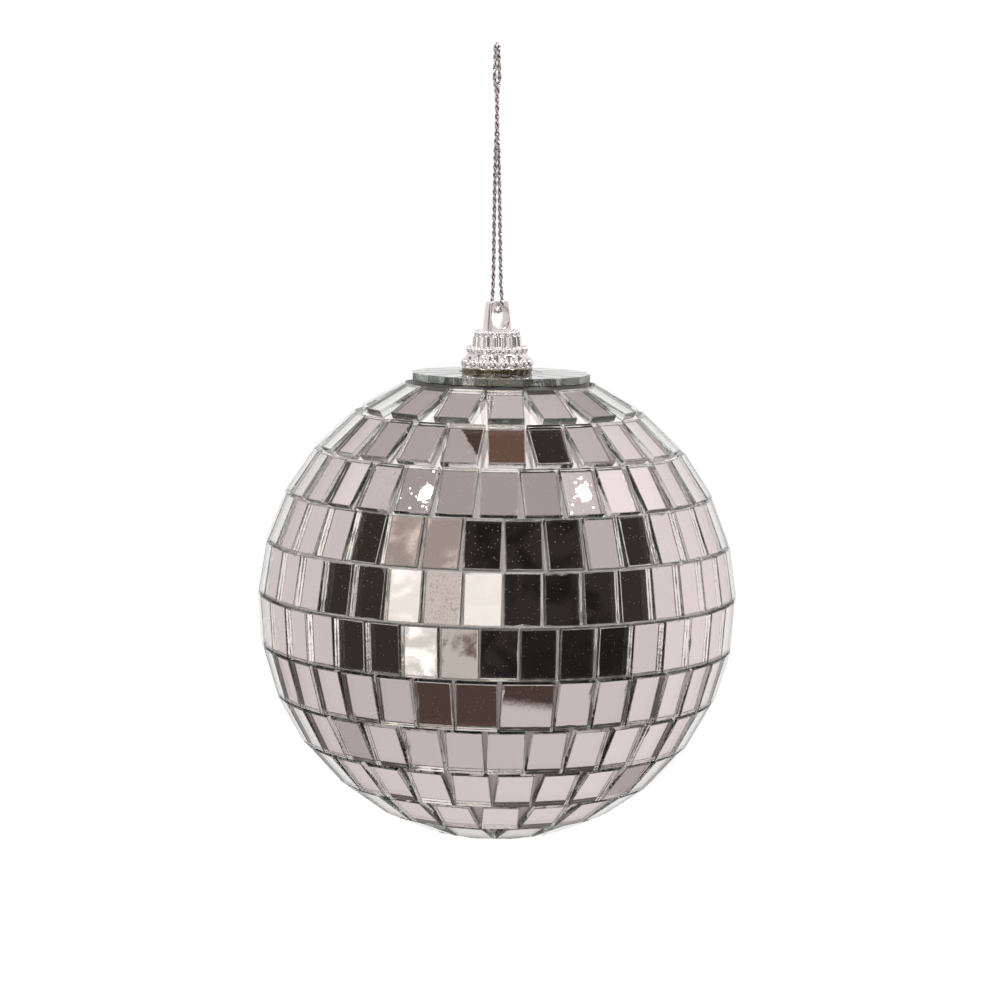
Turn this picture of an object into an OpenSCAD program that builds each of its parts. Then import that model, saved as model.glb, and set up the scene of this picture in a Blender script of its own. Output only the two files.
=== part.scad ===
// Small hanging mirror ball: a foam core covered with rows of glass mirror tiles,
// a plated crown cap with an eye peg, and a thin metallic cord loop.
// Millimetres. The origin is the hang point, where a hook bears inside the top of
// the loop. +Z is up, and the tiles that face -Y are at angle 0 in each row.

/* [Ball] */
// Diameter of the ball over the corners of its tiles
ball_d = 100; // [90:1:120]
// Thickness of the glue and backing between the foam and the glass
bed_t = 0.4; // [0.3:0.1:0.8]
// Depth of the flat cut on the foam for the cap
flat_cut = 1.5; // [1:0.1:2]

/* [Tiles] */
// Width of a whole tile along its row
tile_w = 7.4; // [5:0.1:10]
// Height of a whole tile across its row
tile_h = 10; // [8:0.1:11]
// Thickness of the glass
tile_t = 1.5; // [1:0.1:2]
// Least gap between neighbours in a row, at the back of the glass
tile_gap = 0.2; // [0.1:0.05:0.5]
// Gap between two rows, at the back of the glass
row_gap = 0.6; // [0.4:0.05:1]
// Extra gap that opens above and below the rows next to the crown
crown_gap = 1; // [0:0.1:1.2]
// Width of the first of the two odd tiles that begin the eighth row, in front
first_odd_w = 8.2; // [7.6:0.1:9]
// Width of the second of them
second_odd_w = 10.4; // [8:0.1:12]
// Diameter of the tile at the lower pole, across its corners
pole_tile_d = 7.2; // [6:0.1:9]
// Height of the collar's outer end above the upper edge of the row below it
collar_lift = 2; // [0.4:0.1:2.2]
// Height of the joint between the sixth and seventh rows above the ball's centre
belt_rise = 2; // [0:0.5:4]
// Lean of all the rows towards +X, in degrees, as glued by hand
row_lean = 0.9; // [0:0.1:1.5]
// How far a tile strays from true, in degrees, as glued by hand
stray_deg = 0.5; // [0:0.1:0.8]

/* [Crown cap] */
// Diameter of the plain skirt at its top
skirt_d = 15; // [13:0.5:17]
// Height of the skirt
skirt_h = 2.9; // [2:0.1:4]
// Diameter of the lower drum
low_drum_d = 13; // [12:0.1:14]
// Height of the lower drum
low_drum_h = 3; // [3:0.1:4]
// Diameter of the upper drum
top_drum_d = 9.4; // [9:0.1:10]
// Height of the upper drum
top_drum_h = 3.9; // [3:0.1:5]
// Wall of the cap
cap_wall = 0.9; // [0.7:0.1:1.1]
// Number of pearls in each ring and of ribs on each drum
pearls = 18; // [12:1:18]
// Turn of the lowest pearls and of the ribs above them, in degrees from +X
pearl_turn = 2.8; // [0:0.1:20]
// Diameter of a pearl in the lowest ring
low_pearl_d = 2.1; // [1.5:0.05:2.1]
// Diameter of a pearl in the middle ring
mid_pearl_d = 1.7; // [1.2:0.05:1.75]
// Diameter of a pearl in the top ring
top_pearl_d = 1.3; // [0.9:0.05:1.3]
// Diameter of a rib on the drums
rib_d = 1; // [0.6:0.05:1.1]

/* [Eye peg] */
// Height of the eye post above the cap
post_h = 6.8; // [6.2:0.1:8]
// Diameter of the post at its foot
post_foot_d = 6.4; // [6:0.1:6.8]
// Diameter of the post at its top
post_top_d = 4.9; // [4.7:0.1:5.4]
// Thickness between the two flats at the foot
post_foot_t = 2.6; // [2.2:0.1:3]
// Thickness between the two flats at the top
post_top_t = 2; // [1.6:0.1:2.2]
// Bore of the eye
eye_d = 4.5; // [4:0.1:4.6]
// Web of plastic left over the bore
web_h = 1.2; // [1:0.1:1.6]
// Direction that the eye's bore faces, in degrees from -Y towards +X
eye_turn = 38; // [0:1:90]
// Diameter of the shank
shank_d = 3.2; // [2.6:0.1:3.8]
// Length of the shank below the foam's flat
shank_l = 14; // [8:1:20]
// Diameter of the barbs on the shank
barb_d = 4.4; // [4:0.1:5]
// Bore of the socket in the foam
socket_d = 5.4; // [5.2:0.1:7]

/* [Cord loop] */
// Diameter of the cord
cord_d = 0.9; // [0.7:0.05:1]
// Drop from the hang point to the middle of the web over the eye
loop_drop = 52.9; // [45:0.1:70]

/* [Hidden] */
$fn = 48;
tiny = 0.01;
ball_sides = 240;                // the ball is large, and its bed is a thin shell

// -- radii of the ball's layers, all measured from the ball's centre
back_r = sqrt(pow(ball_d / 2, 2) - pow(tile_h / 2, 2) - pow(tile_w / 2, 2)) - tile_t;
bed_clear = 0.1;                 // room for tiles that stray from true
bed_r = back_r - bed_clear;
foam_r = back_r - bed_t;
flat_z = foam_r - flat_cut;

// -- heights of the cap, up from its seat on the foam
low_drum_z = skirt_h;
top_drum_z = low_drum_z + low_drum_h;
cap_h = top_drum_z + top_drum_h;
web_z = cap_h + post_h - web_h / 2;          // middle of the web, where the cord bears
eye_z = cap_h + post_h - web_h - eye_d / 2;

// -- where the cap's seat and the ball's centre hang
seat_z = -loop_drop - web_z;
ball_z = seat_z - flat_z;

// -- rows of tiles: row 1 is the collar round the cap, the rest lie on the sphere
pitch = 2 * atan((tile_h + row_gap) / 2 / back_r);
belt_lat = asin(belt_rise / back_r);
crown_pitch = atan(crown_gap / back_r);
collar_gap = 0.3;
collar_in_r = skirt_d / 2 + collar_gap + back_r * sin(row_lean);
collar_room = collar_in_r + 0.8 * tile_h;    // least radius of the first row on the sphere
over = floor((acos(collar_room / back_r) - belt_lat - 2 * crown_pitch) / pitch);
pole_room = pole_tile_d / 2 + 0.6 * tile_h;  // least radius of the last whole row's lower edge
under = 1 + floor((acos(pole_room / back_r) + belt_lat) / pitch);
rows = 1 + over + under;

// the last row fills what is left between the row above it and the pole tile
pole_joint = 90 + strip_lat(rows - 1) - pitch / 2;       // both from the lower pole
pole_clear = atan((pole_tile_d / 2 + tile_gap) / back_r);
pole_span = pole_joint - pole_clear;
pole_len = 2 * back_r * tan(pole_span / 2) - row_gap;

// angle of the front tile of each row's strip, as the strips were laid
row_start = [3, 2.4, 2.3, 0, -3.8, -3.4, 0.6, -4.6, 2.9, 6.2, 2.6, 15.5, 0];
odd_row = 8;                     // this row begins with the odd tiles, the others with a whole one
odd_tiles = [first_odd_w, second_odd_w];
broad_rest = 0.6;                // the most that is left to make a broad tile, in whole tiles
stray_seed = 7;
collar_tiles = floor(180 / atan((tile_w + tile_gap) / 2 / edge_r(2)));
pole_tiles = floor(180 / atan((tile_w + tile_gap) / 2 / far_edge_r(rows)));
pole_sides = 8;

function strip_lat(i) = belt_lat + (over + 1.5 - i) * pitch + max(0, 3.5 - i) * crown_pitch;
function row_lat(i) = i < rows ? strip_lat(i) : pole_clear + pole_span / 2 - 90;
function row_len(i) = i < rows ? tile_h : pole_len;
// distance from the ball's axis of a row's edge nearest to its pole, and of the other edge
function edge_r(i) = back_r * cos(row_lat(i)) - row_len(i) / 2 * abs(sin(row_lat(i)));
function far_edge_r(i) = back_r * cos(row_lat(i)) + row_len(i) / 2 * abs(sin(row_lat(i)));
function row_name(i) = str("tile_row_", i < 10 ? "0" : "", i);
function start_of(i) = row_start[(i - 1) % len(row_start)];

// -- collar tiles run from just outside the skirt to the first row on the sphere
collar_out_r = edge_r(2) - row_gap - 0.3;
collar_in_z = flat_z + bed_t;
collar_out_z = min(collar_in_z, back_r * sin(row_lat(2)) + tile_h / 2 * cos(row_lat(2)) + collar_lift);
collar_tilt = atan((collar_in_z - collar_out_z) / (collar_out_r - collar_in_r));
collar_len = norm([collar_out_r - collar_in_r, collar_in_z - collar_out_z]);

// ---------------------------------------------------------------- ball

module at_ball() { translate([0, 0, ball_z]) children(); }
module at_rows() { at_ball() rotate([0, row_lean, 0]) children(); }
module at_cap() { translate([0, 0, seat_z]) children(); }

// the foam ball, trimmed to a shallow cone under the collar and cut flat for the cap
module foam_shape() {
    cone_z = flat_z + collar_in_r * tan(collar_tilt);
    difference() {
        sphere(r = foam_r, $fn = ball_sides);
        rotate([0, row_lean, 0]) rotate_extrude($fn = ball_sides) polygon([
            [0, cone_z], [foam_r, cone_z - foam_r * tan(collar_tilt)], [foam_r, foam_r + 1], [0, foam_r + 1]]);
        translate([-foam_r / 2, -foam_r / 2, flat_z]) cube([foam_r, foam_r, foam_r]);
    }
}

module foam_core() {
    color("white") difference() {
        at_ball() foam_shape();
        at_cap() translate([0, 0, -shank_l - 1]) cylinder(d = socket_d, h = shank_l + 2);
    }
}

// corner of the bed between the rows at two latitudes
function bed_corner(a, b) =
    let (mid = (a + b) / 2, r = bed_r / cos((a - b) / 2)) [r * cos(mid), r * sin(mid)];

// one flat band of glue and backing under each row, closed over the foam
module tile_bed() {
    collar = [
        [collar_in_r - collar_gap, collar_in_z - bed_clear],
        [collar_out_r, collar_out_z - bed_clear],
        [bed_r * cos(row_lat(2)) - tile_h / 2 * sin(row_lat(2)),
         bed_r * sin(row_lat(2)) + tile_h / 2 * cos(row_lat(2))]];
    bands = [for (i = [2 : rows - 1]) bed_corner(row_lat(i), row_lat(i + 1))];
    pole = [bed_corner(row_lat(rows), -90), [0, -bed_r]];
    top = [[0, collar_in_z - bed_clear]];
    color("seashell") difference() {
        at_rows() rotate_extrude($fn = ball_sides) polygon(concat(top, collar, bands, pole));
        at_ball() foam_shape();
        at_cap() translate([0, 0, -bed_t]) cylinder(d = skirt_d + 0.1, h = skirt_h + bed_t);
    }
}

// ---------------------------------------------------------------- tiles

// carries a tile from the ball's centre out to its row, turned to its angle, and
// strayed from true about the middle of its back
module on_row(lat, angle, stray) {
    rotate([0, 0, angle]) rotate([-lat, 0, 0]) translate([0, -back_r, 0])
        rotate(stray_deg * stray) children();
}

module glass_tile(w) {
    translate([-w / 2, -tile_t, -tile_h / 2]) cube([w, tile_t, tile_h]);
}

// a tile cut to a taper, low_w wide at its lower edge and high_w at its upper edge
module taper_tile(low_w, high_w, h) {
    rotate([90, 0, 0]) linear_extrude(tile_t)
        polygon([[-low_w / 2, -h / 2], [low_w / 2, -h / 2], [high_w / 2, h / 2], [-high_w / 2, h / 2]]);
}

// half of one tile's share of a ring, less half the gap
function share_w(r, count) = 2 * r * tan(180 / count) - 1.5 * tile_gap;

// row 1: tapered tiles from the skirt to the first row on the sphere
module collar_row() {
    for (k = [0 : collar_tiles - 1])
        rotate([0, 0, start_of(1) + k * 360 / collar_tiles])
            translate([0, -(collar_in_r + collar_out_r) / 2, (collar_in_z + collar_out_z) / 2])
                rotate([collar_tilt - 90, 0, 0])
                    taper_tile(share_w(collar_out_r, collar_tiles),
                               share_w(collar_in_r, collar_tiles), collar_len);
}

// the last row: tapered tiles that close round the lower pole
module pole_row() {
    for (k = [0 : pole_tiles - 1])
        on_row(row_lat(rows), start_of(rows) + k * 360 / pole_tiles, [0, 0, 0])
            taper_tile(share_w(edge_r(rows), pole_tiles),
                       share_w(far_edge_r(rows), pole_tiles), pole_len);
}

// half of the angle that a tile and its gap take up in row i, and the tile that fills an angle
function half_turn(w, i) = atan((w + tile_gap) / 2 / edge_r(i));
function width_in(angle, i) = 2 * edge_r(i) * tan(angle / 2) - tile_gap;
function total(list, k = 0) = k < len(list) ? list[k] + total(list, k + 1) : 0;

// a strip of tiles that runs to the right from its front tile and closes at the back
// with one tile cut to fill what is left
module strip_row(i) {
    step = 2 * half_turn(tile_w, i);
    odd = i == odd_row ? odd_tiles : [];
    free = 360 - 2 * total([for (w = odd) half_turn(w, i)]);
    whole = floor(free / step);
    rest = free - whole * step;
    narrow = rest > broad_rest * step;  // a narrow piece fills a wide rest, a broad tile a small one
    count = narrow ? whole : whole - 1;
    close_w = width_in(narrow ? rest : rest + step, i);
    widths = concat(odd, [for (k = [1 : ceil(count / 2)]) tile_w], close_w,
                    [for (k = [1 : floor(count / 2)]) tile_w]);
    halves = [for (w = widths) half_turn(w, i)];
    angles = [for (k = 0, a = start_of(i); k < len(widths);
                   a = a + halves[k] + (k + 1 < len(widths) ? halves[k + 1] : 0), k = k + 1) a];
    stray = rands(-1, 1, 3 * len(widths), stray_seed + i);
    for (k = [0 : len(widths) - 1])
        on_row(row_lat(i), angles[k], [stray[3 * k], stray[3 * k + 1], stray[3 * k + 2]])
            glass_tile(widths[k]);
}

module tile_row(i) {
    color([0.80, 0.77, 0.77]) at_rows()
        if (i == 1) collar_row(); else if (i == rows) pole_row(); else strip_row(i);
}

// the small piece cut to cover the lower pole
module pole_tile() {
    color([0.80, 0.77, 0.77]) at_rows()
        translate([0, 0, -back_r - tile_t]) cylinder(d = pole_tile_d, h = tile_t, $fn = pole_sides);
}

// ---------------------------------------------------------------- crown cap and eye peg

// children in a ring; share moves them round by that share of their spacing
module ring(r, z, share = 0) {
    for (k = [0 : pearls - 1])
        rotate([0, 0, pearl_turn + (k + share) * 360 / pearls]) translate([r, 0, z]) children();
}

// stepped shell with pearl rings and ribbed drums, hollow below
module crown_cap() {
    r0 = skirt_d / 2;
    skirt_taper = 0.5;
    r1 = low_drum_d / 2;
    r2 = top_drum_d / 2;
    step_r = r2 + mid_pearl_d / 2 + 0.1;
    color("silver") at_cap() difference() {
        union() {
            rotate_extrude() polygon([
                [0, 0], [r0 - skirt_taper, 0], [r0, skirt_h],
                [r1, skirt_h], [r1, top_drum_z],
                [step_r, top_drum_z], [step_r, top_drum_z + mid_pearl_d / 3],
                [r2, top_drum_z + mid_pearl_d / 3], [r2, cap_h], [0, cap_h]]);
            ring(r1 + 0.05, low_drum_z + 0.42 * low_pearl_d) sphere(d = low_pearl_d);
            ring(step_r + 0.05, top_drum_z + 0.35 * mid_pearl_d, 0.5) sphere(d = mid_pearl_d);
            ring(r2 - 0.35 * top_pearl_d, cap_h + 0.15, 0.5) sphere(d = top_pearl_d);
            ring(r1 - 0.25 * rib_d, low_drum_z + 0.5) cylinder(d = rib_d, h = low_drum_h - 0.8);
            ring(r2 - 0.1 * rib_d, top_drum_z + 0.3) cylinder(d = rib_d, h = top_drum_h - 0.7);
        }
        translate([0, 0, -tiny]) cylinder(r = r1 - cap_wall, h = top_drum_z - cap_wall + tiny);
        translate([0, 0, -tiny]) cylinder(r = r2 - cap_wall, h = cap_h - cap_wall + tiny);
        translate([0, 0, -tiny]) cylinder(d = shank_d + 0.1, h = cap_h + 1);
    }
}

// the barbed shank, from below the foam's flat up to the top of the cap
module shank() {
    barb_h = 2.2;
    translate([0, 0, -shank_l]) cylinder(d = shank_d, h = shank_l + cap_h + tiny);
    for (k = [0 : 2])
        translate([0, 0, -shank_l + 1 + k * (barb_h + 1.4)])
            cylinder(d1 = shank_d - 0.1, d2 = barb_d, h = barb_h);
}

// tapered post with two flats and the eye's bore, on a barbed shank
module eye_peg() {
    flat_slope = atan((post_foot_t - post_top_t) / 2 / post_h);
    foot_h = 0.5;
    color("silver") at_cap() rotate([0, 0, eye_turn]) {
        shank();
        translate([0, 0, cap_h]) cylinder(d = post_foot_d, h = foot_h);
        translate([0, 0, cap_h]) difference() {
            cylinder(d1 = post_foot_d, d2 = post_top_d, h = post_h);
            for (side = [0, 180]) rotate([0, 0, side])
                translate([-post_foot_d, -post_foot_t / 2, foot_h / 2]) rotate([-flat_slope, 0, 0])
                    translate([0, -post_foot_d, 0]) cube([2 * post_foot_d, post_foot_d, 2 * post_h]);
            translate([0, 0, eye_z - cap_h]) rotate([90, 0, 0])
                cylinder(d = eye_d, h = 2 * post_foot_d, center = true);
        }
    }
}

// the glue that fills the socket round the shank
module peg_glue() {
    color("ivory") at_cap() difference() {
        translate([0, 0, -shank_l - 1]) cylinder(d = socket_d, h = shank_l + 1);
        shank();
    }
}

// ---------------------------------------------------------------- cord loop

// The loop's two strands, from the top down: height in a loop as long as the last of
// them, half of the distance between them and the direction of the first from the axis,
// in degrees from +X. They cross over
// each other on the way.
strand = [
    [-0.1, 0.52, 126], [-2, 0.5, 132], [-4, 0.5, 144], [-5.5, 0.5, 158], [-7, 0.5, 166],
    [-8.5, 0.5, 118], [-10, 0.5, 98], [-12.5, 0.5, 92], [-15, 0.5, 87], [-17.5, 0.5, 78],
    [-20, 0.5, 62], [-22.5, 0.5, 48], [-25, 0.5, 40], [-27.5, 0.5, 28], [-30, 0.52, 18],
    [-33, 0.54, 5], [-36, 0.6, -8], [-39, 0.66, -18], [-42, 0.74, -26], [-45, 0.85, -33],
    [-48, 1.02, -40], [-50.5, 1.28, -47], [-53.5, 1.7, -52]];
top_cut = 2;                     // strand points where the top bight and the eye bight end
low_cut = 19;
bend_steps = 8;                  // rings round each bight

last = len(strand) - 1;
stretch = -loop_drop / strand[last][0];      // the heights below follow the drop of the loop
function spot(p, side) = [side * p[1] * cos(p[2]), side * p[1] * sin(p[2]), p[0] * stretch, p[2]];
// half a turn of a bight at strand point p, below it (down = 1) or over it (down = -1)
function bend(p, down) = [for (k = [1 : bend_steps - 1])
    let (a = 180 * k / bend_steps, r = p[1] * cos(a) * down)
    [r * cos(p[2]), r * sin(p[2]), p[0] * stretch - down * p[1] * sin(a), p[2]]];

// once round the loop: down the first strand, through the eye, up the second, over the top
route = concat(
    [for (k = [0 : last]) spot(strand[k], 1)],
    bend(strand[last], 1),
    [for (k = [last : -1 : 0]) spot(strand[k], -1)],
    bend(strand[0], -1));
turns = len(route);
low_start = last + bend_steps;   // the second strand's lowest point

function xyz(k) = let (p = route[(k + turns) % turns]) [p[0], p[1], p[2]];
function unit(v) = v / norm(v);
function along(k) = unit(xyz(k + 1) - xyz(k - 1));
// a ring of the cord round point k
cord_sides = 8;
function cord_ring(k) =
    let (a = route[(k + turns) % turns][3], t = along(k), side = [-sin(a), cos(a), 0],
         u = unit(side - t * (side * t)), v = cross(t, u))
    [for (j = [0 : cord_sides - 1])
        let (b = 360 * j / cord_sides) xyz(k) + cord_d / 2 * (cos(b) * u + sin(b) * v)];

// the cord from point a to point b of the route
module cord(a, b) {
    n = b - a + 1;
    s = cord_sides;
    points = [for (k = [a : b]) each cord_ring(k)];
    walls = [for (k = [0 : n - 2], j = [0 : s - 1]) each [
        [k * s + j, (k + 1) * s + j, (k + 1) * s + (j + 1) % s],
        [k * s + j, (k + 1) * s + (j + 1) % s, k * s + (j + 1) % s]]];
    ends = [[for (j = [0 : s - 1]) j], [for (j = [s - 1 : -1 : 0]) (n - 1) * s + j]];
    polyhedron(points, concat(walls, ends), convexity = 4);
}

module loop_top() { color("lightgray") cord(low_start + last - top_cut, turns + top_cut); }

module loop_strands() {
    color("lightgray") {
        cord(top_cut, low_cut);
        cord(low_start + last - low_cut, low_start + last - top_cut);
    }
}

module loop_bight() { color("lightgray") cord(low_cut, low_start + last - low_cut); }

// ---------------------------------------------------------------- nodes

foam_core();
tile_bed();
for (i = [1 : rows]) tile_row(i);
pole_tile();
crown_cap();
eye_peg();
peg_glue();
loop_top();
loop_strands();
loop_bight();
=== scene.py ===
"""A small hanging mirror ball: rows of silvered glass tiles on a foam core, a plated
pearled crown with an eye, and a two-ply metallic cord looped through the eye.

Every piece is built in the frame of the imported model, in metres, with its own object at
the origin. Sizes in the tables and properties below are millimetres, and MM turns them
into metres.
"""

import bpy
import numpy as np
from bpy.props import FloatProperty, IntProperty, PointerProperty, StringProperty
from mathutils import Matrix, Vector


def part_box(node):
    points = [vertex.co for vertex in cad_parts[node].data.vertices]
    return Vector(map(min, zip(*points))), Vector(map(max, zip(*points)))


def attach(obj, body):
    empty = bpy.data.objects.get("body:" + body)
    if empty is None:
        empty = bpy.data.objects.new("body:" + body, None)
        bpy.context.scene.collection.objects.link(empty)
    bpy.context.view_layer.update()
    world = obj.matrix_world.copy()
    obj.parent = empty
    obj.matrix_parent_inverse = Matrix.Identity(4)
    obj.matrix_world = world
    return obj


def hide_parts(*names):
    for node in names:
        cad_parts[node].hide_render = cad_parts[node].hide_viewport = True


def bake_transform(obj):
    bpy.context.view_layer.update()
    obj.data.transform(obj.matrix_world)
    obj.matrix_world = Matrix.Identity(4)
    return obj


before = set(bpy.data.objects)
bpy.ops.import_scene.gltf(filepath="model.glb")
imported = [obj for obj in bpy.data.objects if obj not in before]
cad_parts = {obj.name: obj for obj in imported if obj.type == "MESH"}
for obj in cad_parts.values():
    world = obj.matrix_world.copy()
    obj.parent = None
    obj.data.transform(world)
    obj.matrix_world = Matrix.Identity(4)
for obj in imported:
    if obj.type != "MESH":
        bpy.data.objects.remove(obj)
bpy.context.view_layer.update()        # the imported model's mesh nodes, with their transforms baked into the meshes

bl_info = {
    "name": "Hanging Mirror Ball",
    "version": (1, 0, 0),
    "blender": (4, 5, 0),
    "location": "3D View > Sidebar > Mirror Ball",
    "description": "Builds the glass tiles, crown, eye and cord of a small hanging mirror ball",
    "category": "Add Mesh",
}

MM = 0.001
TILE_ROWS = sorted(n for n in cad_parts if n.startswith("tile_row_"))


def node_box(name):
    """Lowest and highest corner of a CAD node, in millimetres."""
    low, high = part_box(name)
    return np.array(low) / MM, np.array(high) / MM


CORE_LOW, CORE_HIGH = node_box("foam_core")
CAP_LOW, CAP_HIGH = node_box("crown_cap")
CORE_R = (CORE_HIGH[0] - CORE_LOW[0]) / 2
BALL_Z = CORE_LOW[2] + CORE_R                      # the ball's centre
SEAT_Z = CAP_LOW[2]                                # where the crown sits on the core

# ---------------------------------------------------------------- properties


class CordSettings(bpy.types.PropertyGroup):
    """Sizes and colour of the two-ply cord"""
    diameter: FloatProperty(name="Diameter", description="Thickness of the cord over both plies, in mm",
                            default=0.88, min=0.6, max=1.0)
    lay: FloatProperty(name="Lay", description="Length in which a ply goes once round the cord, in mm",
                       default=3.6, min=2.0, max=6.0)
    groove: FloatProperty(name="Groove", default=0.42, min=0.0, max=0.5, subtype="FACTOR",
                          description="Depth of the groove between the plies, as a share of the radius")
    foil: StringProperty(name="Foil", description="Colour of the metallic foil, as sRGB hex", default="#E9E4E4")
    # painted shade: this dark colour is painted in bands along the plies, for the shade in the grooves
    groove_shade: StringProperty(name="Thread", description="Colour of the bare thread between the foil, as sRGB hex",
                           default="#6E6262")


class TileSettings(bpy.types.PropertyGroup):
    """Edges and finish of the glass tiles"""
    chip: FloatProperty(name="Chip", description="How far the cut edge of the face wanders inwards, in mm",
                        default=0.22, min=0.0, max=0.6)
    bare: FloatProperty(name="Bare Rim", description="How far the silvering stops short of the edge, in mm",
                        default=0.26, min=0.0, max=0.8)
    glass: StringProperty(name="Glass", description="Tint of the clear glass, as sRGB hex", default="#FAFDFC")
    edge: StringProperty(name="Cut Edge", description="Tint of the cut edges, as sRGB hex", default="#F1F8F5")
    silver: StringProperty(name="Silver", description="Colour of the silvering behind the glass, as sRGB hex",
                           default="#F2EEEE")
    grit: FloatProperty(name="Grit", description="Share of the cells of 0.55 mm in the silvering that hold a speck",
                        default=0.5, min=0.0, max=1.0, subtype="FACTOR")
    seed: IntProperty(name="Seed", description="Seed of the chips, the dust and the bare rims", default=5)


class CrownSettings(bpy.types.PropertyGroup):
    """Sizes and colour of the plated crown and its eye"""
    pearls: IntProperty(name="Pearls", description="Pearls in each ring", default=18, min=12, max=24)
    turn: FloatProperty(name="Turn", description="Turn of the lowest pearls, in degrees from +X", default=2.8)
    plate: StringProperty(name="Plating", description="Colour of the bright plating, as sRGB hex",
                          default="#FBF9F9")
    # painted shade: the skirt's colour is darkened to olive, for the dark that it mirrors
    skirt: StringProperty(name="Skirt", description="Colour of the thin plating on the skirt, as sRGB hex",
                          default="#8E8572")


class StudioSettings(bpy.types.PropertyGroup):
    """Camera, lamps and the light tent that the tiles mirror"""
    distance: FloatProperty(name="Distance", description="Camera to the ball's centre, in mm", default=600.0)
    elevation: FloatProperty(name="Elevation", description="Camera height over the ball's centre, in degrees",
                             default=8.6)
    aim: FloatProperty(name="Aim", description="Height of the aim over the ball's centre, in mm", default=21.2)
    aside: FloatProperty(name="Aside", description="Camera and aim to the right of the cord, in mm", default=0.6)
    lens: FloatProperty(name="Lens", description="Focal length on a 36 mm sensor, in mm", default=102.7)
    lamp_power: FloatProperty(name="Lamp Power", description="Power of each lamp, in watts", default=1.5)
    lamp_size: FloatProperty(name="Lamp Size", description="Width of each lamp, in mm", default=3.8)
    lamp_tall: FloatProperty(name="Lamp Height", description="Height of each lamp, in mm", default=6.0)
    wall: StringProperty(name="Wall", description="Colour of the tent in front, as sRGB hex", default="#CBC0C0")
    back: StringProperty(name="Back", description="Colour of the tent behind, as sRGB hex", default="#E3D7D7")
    roof: StringProperty(name="Roof", description="Colour of the tent's roof in front, as sRGB hex",
                         default="#ADA2A0")
    room: StringProperty(name="Room", description="Colour of the dark room in front, as sRGB hex",
                         default="#38322F")
    gloom: StringProperty(name="Gloom", description="Colour of the room's darkest part, as sRGB hex",
                          default="#201D1C")
    warm: StringProperty(name="Warm Card", description="Colour of the warm reflector, as sRGB hex",
                         default="#BFAEA6")
    cream: StringProperty(name="Cream Card", description="Colour of its lit parts, as sRGB hex", default="#FFF8F0")
    boom: StringProperty(name="Boom", description="Colour of the boom overhead, as sRGB hex", default="#6D5448")
    shade: StringProperty(name="Shade", description="Colour of the table's brown edge, as sRGB hex",
                          default="#52413B")


SETTINGS = {"mb_cord": CordSettings, "mb_tiles": TileSettings, "mb_crown": CrownSettings,
            "mb_studio": StudioSettings}

# ---------------------------------------------------------------- small helpers


def linear(text):
    """An sRGB hex colour as linear red, green, blue and an alpha of 1."""
    c = np.array([int(text[i:i + 2], 16) for i in (1, 3, 5)]) / 255
    return (*np.where(c <= 0.04045, c / 12.92, ((c + 0.055) / 1.055) ** 2.4), 1.0)


def add(tree, kind, setup=None, stops=(), **inputs):
    """Add a node, set its properties from setup, and set or link its inputs.

    An input's key is its name with underscores for spaces, or i and its number.
    A socket is linked and any other value is set. stops are a colour ramp's
    (place, linear colour) pairs.
    """
    made = tree.nodes.new(kind)
    for key, value in (setup or {}).items():
        setattr(made, key, value)
    for key, value in inputs.items():
        socket = made.inputs[int(key[1:])] if key[1:].isdigit() else made.inputs[key.replace("_", " ")]
        if isinstance(value, bpy.types.NodeSocket):
            tree.links.new(value, socket)
        else:
            socket.default_value = value
    for _ in stops[2:]:
        made.color_ramp.elements.new(0.5)
    for k, (place, colour) in enumerate(stops):
        made.color_ramp.elements[k].position, made.color_ramp.elements[k].color = place, colour
    return made


def material(name):
    """An empty node material with its output, as (material, tree, output)."""
    made = bpy.data.materials.new(name)
    made.use_nodes = True
    made.node_tree.nodes.clear()
    return made, made.node_tree, made.node_tree.nodes.new("ShaderNodeOutputMaterial")


def piece(name, points, faces, slots, face_slots=None, smooth=True):
    """A mesh object at the origin from points in millimetres.

    faces is one array of quads or a list of faces, and face_slots gives each face's
    material slot.
    """
    mesh = bpy.data.meshes.new(name)
    mesh.from_pydata((np.asarray(points) * MM).tolist(), [],
                     faces.tolist() if isinstance(faces, np.ndarray) else faces)
    for slot in slots:
        mesh.materials.append(slot)
    if face_slots is not None:
        mesh.polygons.foreach_set("material_index", np.asarray(face_slots, dtype=np.int32))
    mesh.polygons.foreach_set("use_smooth", np.full(len(mesh.polygons), smooth))
    mesh.update()
    obj = bpy.data.objects.new(name, mesh)
    bpy.context.scene.collection.objects.link(obj)
    return obj


def grid_faces(rows, cols, close_rows=False, close_cols=True, start=0):
    """Quads of a rows by cols grid of points, closed round either way if asked."""
    r = np.arange(rows if close_rows else rows - 1)[:, None]
    c = np.arange(cols if close_cols else cols - 1)[None, :]
    a, b = r * cols, (r + 1) % rows * cols
    c2 = (c + 1) % cols
    quads = np.stack([a + c, a + c2, b + c2, b + c], axis=-1)
    return quads.reshape(-1, 4) + start


def merge(parts):
    """Join (points, quads) parts into one pair of arrays."""
    points, faces, count = [], [], 0
    for p, f in parts:
        p = p.reshape(-1, 3)
        points.append(p)
        faces.append(f + count)
        count += len(p)
    return np.concatenate(points), np.concatenate(faces)


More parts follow.
